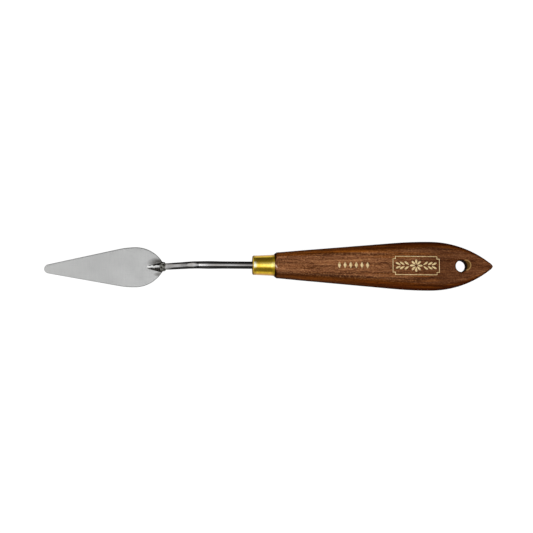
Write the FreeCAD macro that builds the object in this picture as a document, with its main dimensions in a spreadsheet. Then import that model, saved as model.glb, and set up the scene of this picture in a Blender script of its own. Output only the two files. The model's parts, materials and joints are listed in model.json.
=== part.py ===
import FreeCAD, Part
import math
import os
import Sketcher

# Palette knife lying on a table. Row frame: +X towards the handle's butt, +Z up, z = 0 on the table,
# origin under the middle of the overall box. The blade lies flat and the cranked shank lifts the
# handle, whose axis falls towards the butt until its underside touches the table as well.
# The ferrule and the handle are drawn about their own axis: local X runs from the front of the
# ferrule to the butt, and their Placement tilts and lifts that axis.

Vector = FreeCAD.Vector
SHEET = "Dimensions"

DIMENSIONS = {
    "blade_length": 53.6,
    "blade_thickness": 0.5,
    "blade_half_width": 9.05,
    "blade_widest_from_neck": 12.4,
    "blade_tip_radius": 2.05,
    "blade_shoulder_radius": 39.5,
    "blade_heel_radius": 14.3,
    "blade_yaw": 1.1,
    "blade_seat_margin": 0.1,
    "neck_position": -47.4,
    "foot_length": 6.3,
    "foot_toe_half_width": 0.35,
    "foot_toe_height": 0.25,
    "foot_heel_half_width": 2.2,
    "foot_heel_height": 1.8,
    "foot_heel_from_neck": 0.8,
    "crank_radius": 1.5,
    "crank_start_height": 1.55,
    "crank_lower_corner": -45.3,
    "crank_upper_corner": -32.5,
    "crank_lower_bend": 5.0,
    "crank_upper_bend": 7.0,
    "rod_radius": 1.6,
    "tang_depth": 38.0,
    "weld_half_length": 1.75,
    "weld_half_width": 2.35,
    "weld_half_height": 2.2,
    "weld_centre_height": 1.25,
    "weld_centre_behind_neck": 0.35,
    "handle_pitch": 4.2,
    "ferrule_front_position": -6.88,
    "ferrule_length": 9.65,
    "ferrule_wall": 0.45,
    "ferrule_front_radius": 4.32,
    "ferrule_rear_radius": 4.66,
    "ferrule_corner_radius": 0.7,
    "ferrule_flare_length": 1.5,
    "ferrule_flare_radius": 4.84,
    "ferrule_hole_radius": 1.65,
    "handle_half_width": 10.98,
    "handle_taper_angle": 4.95,
    "handle_half_thickness": 4.8,
    "handle_widest_position": 79.5,
    "handle_shoulder_radius": 195.0,
    "handle_nose_radius": 45.1,
    "handle_tip_radius": 1.6,
    "handle_belly_start": 36.0,
    "handle_belly_radius": 780.0,
    "handle_round_at_front": 2.4,
    "handle_round_at_belly": 4.5,
    "handle_round_at_butt": 0.7,
    "handle_round_fullest_position": 68.0,
    "handle_front_face_radius": 4.5,
    "handle_front_round": 1.0,
    "bore_clearance_depth": 1.5,
    "hang_hole_position": 93.45,
    "hang_hole_radius": 2.6,
    "hang_hole_rim_round": 0.6,
}


def make_sheet(doc):
    sheet = doc.addObject("Spreadsheet::Sheet", SHEET)
    for row, (alias, value) in enumerate(DIMENSIONS.items(), start=1):
        sheet.set(f"A{row}", alias)
        sheet.set(f"B{row}", str(value))
        sheet.setAlias(f"B{row}", alias)
    doc.recompute()
    return sheet


def size(alias):
    return DIMENSIONS[alias]


def cell(alias):
    return f"{SHEET}.{alias}"


def origin_plane(body, role):
    return next(feature for feature in body.Origin.OriginFeatures if feature.Role == role)


def add_sketch(body, name, role):
    sketch = body.newObject("Sketcher::SketchObject", name)
    sketch.AttachmentSupport = [(origin_plane(body, role), "")]
    sketch.MapMode = "FlatFace"
    return sketch


def bind(sketch, constraint, expression):
    """Adds a dimension to a sketch and ties it to the sheet."""
    index = sketch.addConstraint(constraint)
    sketch.setExpression(f"Constraints[{index}]", expression)
    return index


def point(x, y):
    return Vector(x, y, 0)


def short_arc(centre, radius, start_angle, end_angle):
    circle = Part.Circle(point(*centre), Vector(0, 0, 1), radius)
    return Part.ArcOfCircle(circle, start_angle, end_angle)


# ---------------------------------------------------------------- blade

def make_blade(doc):
    """Trowel-shaped blade: half the outline is drawn, thickened and mirrored about the centreline."""
    body = doc.addObject("PartDesign::Body", "blade")
    body.Label = "blade"
    length = size("blade_length")
    widest = size("blade_widest_from_neck")
    half_width = size("blade_half_width")
    tip = size("blade_tip_radius")
    shoulder = size("blade_shoulder_radius")
    heel = size("blade_heel_radius")

    # The straight flank is the common tangent of the tip round and the shoulder arc.
    run = length - tip - widest
    rise = half_width - shoulder
    span = math.hypot(run, rise)
    flank = math.asin((shoulder - tip) / span) + math.atan2(rise, run)
    normal = math.pi / 2 + flank
    tip_centre = (-length + tip, 0.0)
    shoulder_centre = (-widest, rise)
    heel_centre = (-widest, half_width - heel)
    flank_start = point(tip_centre[0] + tip * math.cos(normal), tip * math.sin(normal))
    flank_end = point(shoulder_centre[0] + shoulder * math.cos(normal), rise + shoulder * math.sin(normal))
    neck_half = heel_centre[1] + math.sqrt(heel ** 2 - widest ** 2)
    neck_angle = math.atan2(neck_half - heel_centre[1], widest)

    outline = add_sketch(body, "half_outline", "XY_Plane")
    tip_arc = outline.addGeometry(short_arc(tip_centre, tip, normal, math.pi))
    flank_line = outline.addGeometry(Part.LineSegment(flank_start, flank_end))
    shoulder_arc = outline.addGeometry(short_arc(shoulder_centre, shoulder, math.pi / 2, normal))
    heel_arc = outline.addGeometry(short_arc(heel_centre, heel, neck_angle, math.pi / 2))
    neck_line = outline.addGeometry(Part.LineSegment(point(0, neck_half), point(0, 0)))
    centre_line = outline.addGeometry(Part.LineSegment(point(0, 0), point(-length, 0)))
    start, end, centre = 1, 2, 3
    joins = [("Tangent", tip_arc, start, flank_line, start), ("Tangent", flank_line, end, shoulder_arc, end),
             ("Coincident", shoulder_arc, start, heel_arc, end), ("Coincident", heel_arc, start, neck_line, start),
             ("Coincident", neck_line, end, centre_line, start), ("Coincident", centre_line, end, tip_arc, end),
             ("Coincident", centre_line, start, -1, 1), ("Vertical", neck_line), ("Horizontal", centre_line),
             ("PointOnObject", tip_arc, centre, -1), ("Vertical", shoulder_arc, centre, shoulder_arc, start),
             ("Vertical", heel_arc, centre, shoulder_arc, start)]
    for join in joins:
        outline.addConstraint(Sketcher.Constraint(*join))
    bind(outline, Sketcher.Constraint("Radius", tip_arc, tip), cell("blade_tip_radius"))
    bind(outline, Sketcher.Constraint("Radius", shoulder_arc, shoulder), cell("blade_shoulder_radius"))
    bind(outline, Sketcher.Constraint("Radius", heel_arc, heel), cell("blade_heel_radius"))
    bind(outline, Sketcher.Constraint("DistanceX", centre_line, end, centre_line, start, length),
         cell("blade_length"))
    bind(outline, Sketcher.Constraint("DistanceX", shoulder_arc, start, -1, 1, widest),
         cell("blade_widest_from_neck"))
    bind(outline, Sketcher.Constraint("DistanceY", -1, 1, shoulder_arc, start, half_width),
         cell("blade_half_width"))

    plate = body.newObject("PartDesign::Pad", "half_plate")
    plate.Profile = outline
    plate.setExpression("Length", cell("blade_thickness"))
    doc.recompute()
    whole = body.newObject("PartDesign::Mirrored", "whole_plate")
    whole.Originals = [plate]
    whole.MirrorPlane = (origin_plane(body, "XZ_Plane"), [""])
    body.Tip = whole
    body.setExpression("Placement.Base.x", cell("neck_position"))
    # The blade is welded on slightly askew, with its tip towards -Y.
    body.Placement.Rotation = FreeCAD.Rotation(Vector(0, 0, 1), size("blade_yaw"))
    return body


# ---------------------------------------------------------------- shank

def axis_height_at_ferrule():
    """Height of the handle's axis at the ferrule's front when the belly arc touches the table."""
    pitch = math.radians(size("handle_pitch"))
    belly = size("handle_belly_radius")
    centre_above_axis = belly - size("handle_half_thickness")
    return size("handle_belly_start") * math.sin(pitch) + belly - centre_above_axis * math.cos(pitch)


def shank_corners():
    """Corners of the shank's centreline in the XZ plane, from the blade to the end of the tang."""
    pitch = math.radians(size("handle_pitch"))
    front = size("ferrule_front_position")
    height = axis_height_at_ferrule()
    upper = size("crank_upper_corner")
    tang = size("ferrule_length") + size("tang_depth")
    return [
        (size("neck_position") - size("foot_heel_from_neck"), size("crank_start_height")),
        (size("crank_lower_corner"), size("crank_start_height")),
        (upper, height + (front - upper) * math.tan(pitch)),
        (front + tang * math.cos(pitch), height - tang * math.sin(pitch)),
    ]


def rounded_path(sketch, corners, radii):
    """Lines through the corners with a tangent arc at each inner one."""
    position = point(*corners[0])
    for before, corner, after, radius in zip(corners, corners[1:], corners[2:], radii):
        inward = (point(*corner) - point(*before)).normalize()
        outward = (point(*after) - point(*corner)).normalize()
        turn = inward.getAngle(outward)
        setback = radius * math.tan(turn / 2)
        arc_start = point(*corner) - inward * setback
        arc_end = point(*corner) + outward * setback
        bisector = (outward - inward).normalize()
        centre = point(*corner) + bisector * (radius / math.cos(turn / 2))
        sketch.addGeometry(Part.LineSegment(position, arc_start))
        sketch.addGeometry(Part.Arc(arc_start, centre - bisector * radius, arc_end))
        position = arc_end
    sketch.addGeometry(Part.LineSegment(position, point(*corners[-1])))


def add_ellipse_section(body, name, station, half_width, height, base):
    """Ellipse on a plane across X; its centre lies at the height of the blade's upper face."""
    section = add_sketch(body, name, "YZ_Plane")
    section.AttachmentOffset = FreeCAD.Placement(Vector(0, 0, station), FreeCAD.Rotation())
    centre = point(0, base)
    section.addGeometry(Part.Ellipse(point(half_width, base), point(0, base + height), centre))
    return section


def make_shank(doc):
    """Round rod with a cranked neck; its front end is drawn out into a ridge that lies on the blade."""
    body = doc.addObject("PartDesign::Body", "shank")
    body.Label = "shank"
    corners = shank_corners()
    centreline = add_sketch(body, "centreline", "XZ_Plane")
    rounded_path(centreline, corners, (size("crank_lower_bend"), size("crank_upper_bend")))

    section = add_sketch(body, "neck_section", "YZ_Plane")
    section.AttachmentOffset = FreeCAD.Placement(Vector(0, 0, corners[0][0]), FreeCAD.Rotation())
    ring = section.addGeometry(Part.Circle(point(0, corners[0][1]), Vector(0, 0, 1), size("crank_radius")))
    section.addConstraint(Sketcher.Constraint("PointOnObject", ring, 3, -2))
    bind(section, Sketcher.Constraint("DistanceY", -1, 1, ring, 3, corners[0][1]), cell("crank_start_height"))
    bind(section, Sketcher.Constraint("Radius", ring, size("crank_radius")), cell("crank_radius"))
    doc.recompute()
    rod = body.newObject("PartDesign::AdditivePipe", "cranked_rod")
    rod.Profile = section
    rod.Spine = (centreline, [])
    doc.recompute()

    # The straight run past the crank is a little thicker than the forged neck.
    pitch = size("handle_pitch")
    straight_start = Vector(corners[2][0] + size("crank_upper_bend"), 0, 0)
    straight_start.z = corners[2][1] - size("crank_upper_bend") * math.tan(math.radians(pitch))
    straight_end = Vector(corners[3][0], 0, corners[3][1])
    sleeve = add_sketch(body, "straight_section", "YZ_Plane")
    sleeve.AttachmentOffset = FreeCAD.Placement(Vector(0, straight_start.z, straight_start.x),
                                                FreeCAD.Rotation(Vector(1, 0, 0), pitch))
    disc = sleeve.addGeometry(Part.Circle(point(0, 0), Vector(0, 0, 1), size("rod_radius")))
    sleeve.addConstraint(Sketcher.Constraint("Coincident", disc, 3, -1, 1))
    bind(sleeve, Sketcher.Constraint("Radius", disc, size("rod_radius")), cell("rod_radius"))
    straight = body.newObject("PartDesign::Pad", "straight_rod")
    straight.Profile = sleeve
    straight.Length = (straight_end - straight_start).Length
    doc.recompute()

    base = size("blade_thickness")
    heel = corners[0][0]
    toe_section = add_ellipse_section(body, "toe_section", heel - size("foot_length"),
                                      size("foot_toe_half_width"), size("foot_toe_height"), base)
    heel_section = add_ellipse_section(body, "heel_section", heel,
                                       size("foot_heel_half_width"), size("foot_heel_height"), base)
    doc.recompute()
    foot = body.newObject("PartDesign::AdditiveLoft", "foot")
    foot.Profile = toe_section
    foot.Sections = [heel_section]
    foot.Ruled = True
    doc.recompute()

    # The foot is flat underneath, where it lies on the blade.
    below = add_sketch(body, "below_blade_face", "XZ_Plane")
    left, right = heel - 2 * size("foot_length"), size("neck_position") + size("blade_seat_margin")
    add_rectangle(below, left, right, -size("foot_heel_height"), base)
    flat = body.newObject("PartDesign::Pocket", "flat_underside")
    flat.Profile = below
    flat.Type = 1
    flat.Midplane = True
    doc.recompute()
    return body


def add_rectangle(sketch, left, right, bottom, top):
    corners = [point(left, bottom), point(right, bottom), point(right, top), point(left, top)]
    for first, second in zip(corners, corners[1:] + corners[:1]):
        sketch.addGeometry(Part.LineSegment(first, second))
    for line in range(4):
        sketch.addConstraint(Sketcher.Constraint("Coincident", line, 2, (line + 1) % 4, 1))


# ---------------------------------------------------------------- weld

def make_weld(doc, blade, shank):
    """Bead of weld metal that wraps the neck where the shank leaves the blade."""
    bead = doc.addObject("Part::Ellipsoid", "weld_bead")
    bead.setExpression("Radius1", cell("weld_half_height"))
    bead.setExpression("Radius2", cell("weld_half_length"))
    bead.setExpression("Radius3", cell("weld_half_width"))
    bead.setExpression("Placement.Base.x", f"{cell('neck_position')} + {cell('weld_centre_behind_neck')}")
    bead.setExpression("Placement.Base.z", cell("weld_centre_height"))
    table = doc.addObject("Part::Box", "below_table")
    reach = 4 * size("weld_half_length")
    table.Length = reach
    table.Width = reach
    table.Height = reach
    table.Placement.Base = Vector(size("neck_position") - reach / 2, -reach / 2, -reach)
    members = doc.addObject("Part::MultiFuse", "joined_members")
    members.Shapes = [blade, shank, table]
    weld = doc.addObject("Part::Cut", "neck_weld")
    weld.Base = bead
    weld.Tool = members
    weld.Label = "neck_weld"
    return weld


# ---------------------------------------------------------------- ferrule and handle

def place_on_handle_axis(body):
    """Tilts a piece drawn about the handle's axis and lifts it until the handle's belly touches z = 0."""
    body.setExpression("Placement.Base.x", cell("ferrule_front_position"))
    body.Placement.Base.z = axis_height_at_ferrule()
    body.Placement.Rotation = FreeCAD.Rotation(Vector(0, 1, 0), size("handle_pitch"))


def tenon_radii():
    """Radii of the turned tenon under the ferrule, at the ferrule's front wall and at its rear."""
    wall = size("ferrule_wall")
    return size("ferrule_front_radius") - wall, size("ferrule_rear_radius") - wall


def make_ferrule(doc):
    """Thin brass ferrule: closed round-cornered front with a hole for the shank, flared rear lip."""
    body = doc.addObject("PartDesign::Body", "ferrule")
    body.Label = "ferrule"
    wall = size("ferrule_wall")
    length = size("ferrule_length")
    corner = size("ferrule_corner_radius")
    front = size("ferrule_front_radius")
    rear = size("ferrule_rear_radius")
    lip = size("ferrule_flare_radius")
    flare = length - size("ferrule_flare_length")
    hole = size("ferrule_hole_radius")
    inner_front, inner_rear = tenon_radii()
    arc_middle = corner * (1 - math.sqrt(0.5))

    profile = add_sketch(body, "wall_profile", "XZ_Plane")
    outline = [
        Part.LineSegment(point(0, hole), point(0, front - corner)),
        Part.Arc(point(0, front - corner), point(arc_middle, front - arc_middle), point(corner, front)),
        Part.LineSegment(point(corner, front), point(flare, rear)),
        Part.Arc(point(flare, rear), point((flare + length) / 2, rear + (lip - rear) / 3), point(length, lip)),
        Part.LineSegment(point(length, lip), point(length, inner_rear)),
        Part.LineSegment(point(length, inner_rear), point(wall, inner_front)),
        Part.LineSegment(point(wall, inner_front), point(wall, hole)),
        Part.LineSegment(point(wall, hole), point(0, hole)),
    ]
    for edge in outline:
        profile.addGeometry(edge)
    doc.recompute()
    shell = body.newObject("PartDesign::Revolution", "shell")
    shell.Profile = profile
    shell.ReferenceAxis = (profile, ["H_Axis"])
    shell.Angle = 360
    place_on_handle_axis(body)
    return body


def handle_outline():
    """Key points of the plan outline: end of the straight flank, tip round's centre and butt."""
    taper = math.radians(size("handle_taper_angle"))
    widest = size("handle_widest_position")
    half = size("handle_half_width")
    shoulder = size("handle_shoulder_radius")
    nose = size("handle_nose_radius")
    tip = size("handle_tip_radius")
    flank_end = widest - shoulder * math.sin(taper)
    flank_half = half - shoulder * (1 - math.cos(taper))
    tip_centre = widest + math.sqrt((nose - tip) ** 2 - (nose - half) ** 2)
    nose_end = widest + (tip_centre - widest) * nose / (nose - tip)
    return flank_end, flank_half, tip_centre, nose_end


def handle_half_width(station):
    flank_end, flank_half, tip_centre, nose_end = handle_outline()
    half = size("handle_half_width")
    widest = size("handle_widest_position")
    if station < flank_end:
        return flank_half - (flank_end - station) * math.tan(math.radians(size("handle_taper_angle")))
    if station < widest:
        shoulder = size("handle_shoulder_radius")
        return half - shoulder + math.sqrt(shoulder ** 2 - (widest - station) ** 2)
    if station < nose_end:
        nose = size("handle_nose_radius")
        return half - nose + math.sqrt(nose ** 2 - (station - widest) ** 2)
    return math.sqrt(size("handle_tip_radius") ** 2 - (station - tip_centre) ** 2)


def handle_half_height(station):
    half = size("handle_half_thickness")
    past = station - size("handle_belly_start")
    if past <= 0:
        return half
    belly = size("handle_belly_radius")
    return half - belly + math.sqrt(belly ** 2 - past ** 2)


def handle_side_round(station):
    """How far the bullnosed side reaches in from the edge: it grows to the belly, then fades to the butt."""
    fullest = size("handle_round_fullest_position")
    front = size("ferrule_length")
    butt = handle_outline()[2] + size("handle_tip_radius")
    if station < fullest:
        low, share = size("handle_round_at_front"), (station - front) / (fullest - front)
    else:
        low, share = size("handle_round_at_butt"), (butt - station) / (butt - fullest)
    return low + (size("handle_round_at_belly") - low) * share


def quarter_ellipse(centre, across, upward, quadrant):
    """Quarter of an upright ellipse; quadrant 0 is the right upper one, and they run anticlockwise."""
    quarter = math.pi / 2
    right = point(centre + across, 0)
    top = point(centre, upward)
    if across > upward:
        ellipse = Part.Ellipse(right, top, point(centre, 0))
        start = quadrant * quarter
    else:
        ellipse = Part.Ellipse(top, point(centre - across, 0), point(centre, 0))
        start = (quadrant + 3) % 4 * quarter
    return Part.ArcOfEllipse(ellipse, start, start + quarter)


def add_handle_section(body, index, station):
    """Flat top and bottom joined by half-elliptical sides."""
    section = add_sketch(body, f"section_{index}", "YZ_Plane")
    section.AttachmentOffset = FreeCAD.Placement(Vector(0, 0, station), FreeCAD.Rotation())
    half_width = handle_half_width(station)
    height = handle_half_height(station)
    side = min(handle_side_round(station), 0.9 * half_width)
    flat = half_width - side
    section.addGeometry(Part.LineSegment(point(-flat, height), point(flat, height)))
    section.addGeometry(quarter_ellipse(flat, side, height, 0))
    section.addGeometry(quarter_ellipse(flat, side, height, 3))
    section.addGeometry(Part.LineSegment(point(flat, -height), point(-flat, -height)))
    section.addGeometry(quarter_ellipse(-flat, side, height, 2))
    section.addGeometry(quarter_ellipse(-flat, side, height, 1))
    return section


def handle_stations():
    """Loft stations: even along the grip, closer together towards the pointed butt."""
    front = size("ferrule_length")
    butt = handle_outline()[2] + size("handle_tip_radius")
    grip = [front + 10.0 * step for step in range(6)]
    before_butt = (42.0, 36.0, 30.0, 24.0, 18.0, 13.0, 9.0, 6.0, 3.5, 1.7, 0.6, 0.2, 0.03)
    return grip + [butt - step for step in before_butt]


def edge_names(shape, test):
    """Names of the edges whose sampled points all pass the test."""
    names = []
    for index, edge in enumerate(shape.Edges, start=1):
        if not edge.Degenerated and all(test(sample) for sample in edge.discretize(5)):
            names.append(f"Edge{index}")
    return names


def add_fillet(body, name, base, test, alias):
    """Rounds the edges of the feature that pass the test."""
    names = edge_names(base.Shape, test)
    if not names:
        raise RuntimeError(f"{name} finds no edge")
    fillet = body.newObject("PartDesign::Fillet", name)
    fillet.Base = (base, names)
    fillet.setExpression("Radius", cell(alias))
    body.Document.recompute()
    return fillet


def make_handle(doc):
    """Lacquered wooden handle: lofted grip, turned tenon, bore for the tang and hanging hole."""
    body = doc.addObject("PartDesign::Body", "handle")
    body.Label = "handle"
    sections = [add_handle_section(body, index, station) for index, station in enumerate(handle_stations())]
    doc.recompute()
    grip = body.newObject("PartDesign::AdditiveLoft", "grip")
    grip.Profile = sections[0]
    grip.Sections = sections[1:]
    grip.Ruled = False
    doc.recompute()
    length = size("ferrule_length")
    shoulder = add_sketch(body, "shoulder_cutter", "XZ_Plane")
    face = size("handle_front_face_radius")
    corner = size("handle_front_round")
    outside = size("handle_half_width")
    dip = corner * (1 - math.sqrt(0.5))
    shoulder.addGeometry(Part.Arc(point(length, face), point(length + dip, face + corner - dip),
                                  point(length + corner, face + corner)))
    corners = [point(length + corner, face + corner), point(length + corner, outside),
               point(length - corner, outside), point(length - corner, face), point(length, face)]
    for first, second in zip(corners, corners[1:]):
        shoulder.addGeometry(Part.LineSegment(first, second))
    doc.recompute()
    turned = body.newObject("PartDesign::Groove", "turned_shoulder")
    turned.Profile = shoulder
    turned.ReferenceAxis = (shoulder, ["H_Axis"])
    turned.Angle = 360
    doc.recompute()

    wall = size("ferrule_wall")
    inner_front, inner_rear = tenon_radii()
    tenon_profile = add_sketch(body, "tenon_profile", "XZ_Plane")
    corners = [point(wall, 0), point(wall, inner_front), point(length, inner_rear), point(length, 0)]
    for first, second in zip(corners, corners[1:] + corners[:1]):
        tenon_profile.addGeometry(Part.LineSegment(first, second))
    doc.recompute()
    tenon = body.newObject("PartDesign::Revolution", "tenon")
    tenon.Profile = tenon_profile
    tenon.ReferenceAxis = (tenon_profile, ["H_Axis"])
    tenon.Angle = 360
    doc.recompute()

    radius = size("rod_radius")
    bore_end = length + size("tang_depth") + size("bore_clearance_depth")
    bore_profile = add_sketch(body, "bore_profile", "XZ_Plane")
    corners = [point(0, 0), point(0, radius), point(bore_end, radius), point(bore_end + radius / 2, 0)]
    for first, second in zip(corners, corners[1:] + corners[:1]):
        bore_profile.addGeometry(Part.LineSegment(first, second))
    doc.recompute()
    bore = body.newObject("PartDesign::Groove", "tang_bore")
    bore.Profile = bore_profile
    bore.ReferenceAxis = (bore_profile, ["H_Axis"])
    bore.Angle = 360
    doc.recompute()

    station = size("hang_hole_position")
    hole_sketch = add_sketch(body, "hang_hole_outline", "XY_Plane")
    ring = hole_sketch.addGeometry(Part.Circle(point(station, 0), Vector(0, 0, 1), size("hang_hole_radius")))
    hole_sketch.addConstraint(Sketcher.Constraint("PointOnObject", ring, 3, -1))
    bind(hole_sketch, Sketcher.Constraint("DistanceX", -1, 1, ring, 3, station), cell("hang_hole_position"))
    bind(hole_sketch, Sketcher.Constraint("Radius", ring, size("hang_hole_radius")), cell("hang_hole_radius"))
    hole = body.newObject("PartDesign::Pocket", "hang_hole")
    hole.Profile = hole_sketch
    hole.Type = 1
    hole.Midplane = True
    doc.recompute()
    reach = size("hang_hole_radius")
    add_fillet(body, "hole_rims", hole,
               lambda sample: abs(math.hypot(sample.x - station, sample.y) - reach) < 0.01 and abs(sample.z) > 1,
               "hang_hole_rim_round")
    place_on_handle_axis(body)
    return body


# ---------------------------------------------------------------- build and write

def check(doc, sub_parts):
    for item in doc.Objects:
        if "Invalid" in item.State or "Error" in item.State:
            raise RuntimeError(f"{item.Name} did not build: {item.State}")
    for sub_part in sub_parts:
        shape = sub_part.Shape
        if shape.isNull() or not shape.isValid() or len(shape.Solids) != 1:
            raise RuntimeError(f"{sub_part.Label} is not one sound solid")


def main():
    doc = FreeCAD.newDocument("PaletteKnife")
    make_sheet(doc)
    blade = make_blade(doc)
    shank = make_shank(doc)
    weld = make_weld(doc, blade, shank)
    ferrule = make_ferrule(doc)
    handle = make_handle(doc)
    doc.recompute()
    sub_parts = [blade, shank, weld, ferrule, handle]
    check(doc, sub_parts)
    os.makedirs("parts", exist_ok=True)
    for sub_part in sub_parts:
        sub_part.Shape.exportStep(f"parts/{sub_part.Label}.step")
        box = sub_part.Shape.BoundBox
        print(f"{sub_part.Label}: {sub_part.Shape.Volume:.1f} mm3, "
              f"x {box.XMin:.2f}..{box.XMax:.2f}, y {box.YMin:.2f}..{box.YMax:.2f}, "
              f"z {box.ZMin:.2f}..{box.ZMax:.2f}")


main()
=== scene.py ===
import json
import math

import bmesh
import bpy
from mathutils import Matrix, Vector, noise
from mathutils.bvhtree import BVHTree


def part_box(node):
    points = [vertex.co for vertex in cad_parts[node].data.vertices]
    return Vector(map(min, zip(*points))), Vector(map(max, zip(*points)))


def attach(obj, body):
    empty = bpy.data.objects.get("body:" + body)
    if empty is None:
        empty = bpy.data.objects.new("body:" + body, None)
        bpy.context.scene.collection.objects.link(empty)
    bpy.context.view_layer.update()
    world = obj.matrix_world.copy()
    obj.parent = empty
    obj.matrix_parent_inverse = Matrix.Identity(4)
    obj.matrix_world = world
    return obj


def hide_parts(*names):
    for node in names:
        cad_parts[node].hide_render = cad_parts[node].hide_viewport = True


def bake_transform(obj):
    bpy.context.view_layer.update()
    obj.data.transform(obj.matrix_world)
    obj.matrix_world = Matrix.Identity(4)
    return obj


# Looks of the palette knife around its CAD frame: +X towards the handle's butt, +Z up,
# z = 0 under the blade and the handle. Lengths in this script are millimetres until an object is made.

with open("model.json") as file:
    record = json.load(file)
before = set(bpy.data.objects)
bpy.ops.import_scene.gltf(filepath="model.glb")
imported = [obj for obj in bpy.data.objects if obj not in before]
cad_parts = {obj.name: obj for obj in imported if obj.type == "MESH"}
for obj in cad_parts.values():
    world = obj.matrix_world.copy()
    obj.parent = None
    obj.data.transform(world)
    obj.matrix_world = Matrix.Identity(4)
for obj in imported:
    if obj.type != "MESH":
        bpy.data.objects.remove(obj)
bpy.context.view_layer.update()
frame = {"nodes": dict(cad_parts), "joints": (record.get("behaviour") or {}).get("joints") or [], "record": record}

MM = 0.001
HALF_TURN = math.pi


# ---------------------------------------------------------------- what the frame says

def box_mm(node):
    low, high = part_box(node)
    return low / MM, high / MM


def mount(name):
    return next(item for item in frame["record"]["mounts"] if item["name"] == name)


HOLE_CENTRE = Vector(mount("hang_hole")["pos_m"]) / MM
HOLE_AXIS = Vector(mount("hang_hole")["axis"])
PITCH = math.atan2(HOLE_AXIS.x, HOLE_AXIS.z)
BLADE_LOW, BLADE_HIGH = box_mm("blade")
BLADE_THICKNESS = BLADE_HIGH.z
NECK = -47.4


def axis_height(x):
    """Height of the handle's axis, which falls towards the butt and passes through the hanging hole."""
    return HOLE_CENTRE.z + (HOLE_CENTRE.x - x) * math.tan(PITCH)


# ---------------------------------------------------------------- small tools

def clamp(value, low=0.0, high=1.0):
    return max(low, min(high, value))


def smooth(low, high, value):
    """0 before low, 1 after high, and an even S between them."""
    share = clamp((value - low) / (high - low))
    return share * share * (3 - 2 * share)


def mix(first, second, share):
    return first + (second - first) * share


def spaced(start, end, count):
    """count + 1 evenly spaced values from start to end."""
    return [mix(start, end, step / count) for step in range(count + 1)]


def through(points, x):
    """Smooth value at x through a few (x, value) points in rising order."""
    for (x0, first), (x1, second) in zip(points, points[1:]):
        if x <= x1:
            return mix(first, second, smooth(x0, x1, x))
    return points[-1][1]


def make_object(name, points, faces, material):
    """Mesh object from points in millimetres: coincident points welded, normals outwards, smooth."""
    mesh = bpy.data.meshes.new(name)
    mesh.from_pydata([Vector(point) * MM for point in points], [], faces)
    edit = bmesh.new()
    edit.from_mesh(mesh)
    bmesh.ops.remove_doubles(edit, verts=edit.verts, dist=1e-8)
    bmesh.ops.recalc_face_normals(edit, faces=edit.faces)
    for face in edit.faces:
        face.smooth = True
    edit.to_mesh(mesh)
    edit.free()
    mesh.materials.append(material)
    piece = bpy.data.objects.new(name, mesh)
    bpy.context.scene.collection.objects.link(piece)
    return piece


def loft(name, rings, material):
    """Skin over closed rings that all have the same number of points, closed at both ends."""
    around = len(rings[0])
    points = [point for ring in rings for point in ring]
    faces = [list(range(around)), list(range(len(points) - around, len(points)))]
    for row in range(len(rings) - 1):
        for column in range(around):
            beside = (column + 1) % around
            faces.append([row * around + column, row * around + beside,
                          (row + 1) * around + beside, (row + 1) * around + column])
    return make_object(name, points, faces, material)


# ---------------------------------------------------------------- material tools

def linear(red, green, blue):
    """Linear colour from 8-bit sRGB values."""
    def one(value):
        share = value / 255
        return share / 12.92 if share <= 0.04045 else ((share + 0.055) / 1.055) ** 2.4
    return (one(red), one(green), one(blue), 1.0)


def grey(value):
    return (value, value, value, 1.0)


# Sockets of the colour mix node, which has several of each name.
MIX_SHARE = 0
MIX_FIRST = 6
MIX_SECOND = 7
MIX_RESULT = 2


class Nodes:
    """Adds nodes to one tree by kind. Sockets are linked or set by name."""

    def __init__(self, tree):
        self.tree = tree

    def node(self, kind, settings=None, **sockets):
        made = self.tree.nodes.new(kind)
        for attribute, value in (settings or {}).items():
            setattr(made, attribute, value)
        for socket, value in sockets.items():
            self.put(made.inputs[socket.replace("_", " ")], value)
        return made

    def put(self, socket, value):
        if isinstance(value, bpy.types.NodeSocket):
            self.tree.links.new(value, socket)
        else:
            socket.default_value = value

    def range(self, value, low, high, to_low=0.0, to_high=1.0):
        made = self.node("ShaderNodeMapRange", Value=value, From_Min=low, From_Max=high,
                         To_Min=to_low, To_Max=to_high)
        return made.outputs["Result"]

    def ramp(self, value, stops):
        made = self.node("ShaderNodeValToRGB", Fac=value)
        elements = made.color_ramp.elements
        elements[0].position, elements[0].color = stops[0]
        elements[1].position, elements[1].color = stops[-1]
        for position, colour in stops[1:-1]:
            elements.new(position).color = colour
        return made.outputs["Color"]

    def blend(self, first, second, share):
        made = self.node("ShaderNodeMix", {"data_type": "RGBA"})
        self.put(made.inputs[MIX_SHARE], share)
        self.put(made.inputs[MIX_FIRST], first)
        self.put(made.inputs[MIX_SECOND], second)
        return made.outputs[MIX_RESULT]

    def calculate(self, operation, first, second=0.0):
        made = self.node("ShaderNodeMath", {"operation": operation})
        self.put(made.inputs[0], first)
        self.put(made.inputs[1], second)
        return made.outputs[0]

    def add(self, first, second):
        return self.calculate("ADD", first, second)

    def minus(self, first, second):
        return self.calculate("SUBTRACT", first, second)

    def times(self, first, second):
        return self.calculate("MULTIPLY", first, second)

    def absolute(self, value):
        return self.calculate("ABSOLUTE", value)

    def split(self, vector):
        return self.node("ShaderNodeSeparateXYZ", Vector=vector).outputs


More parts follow.
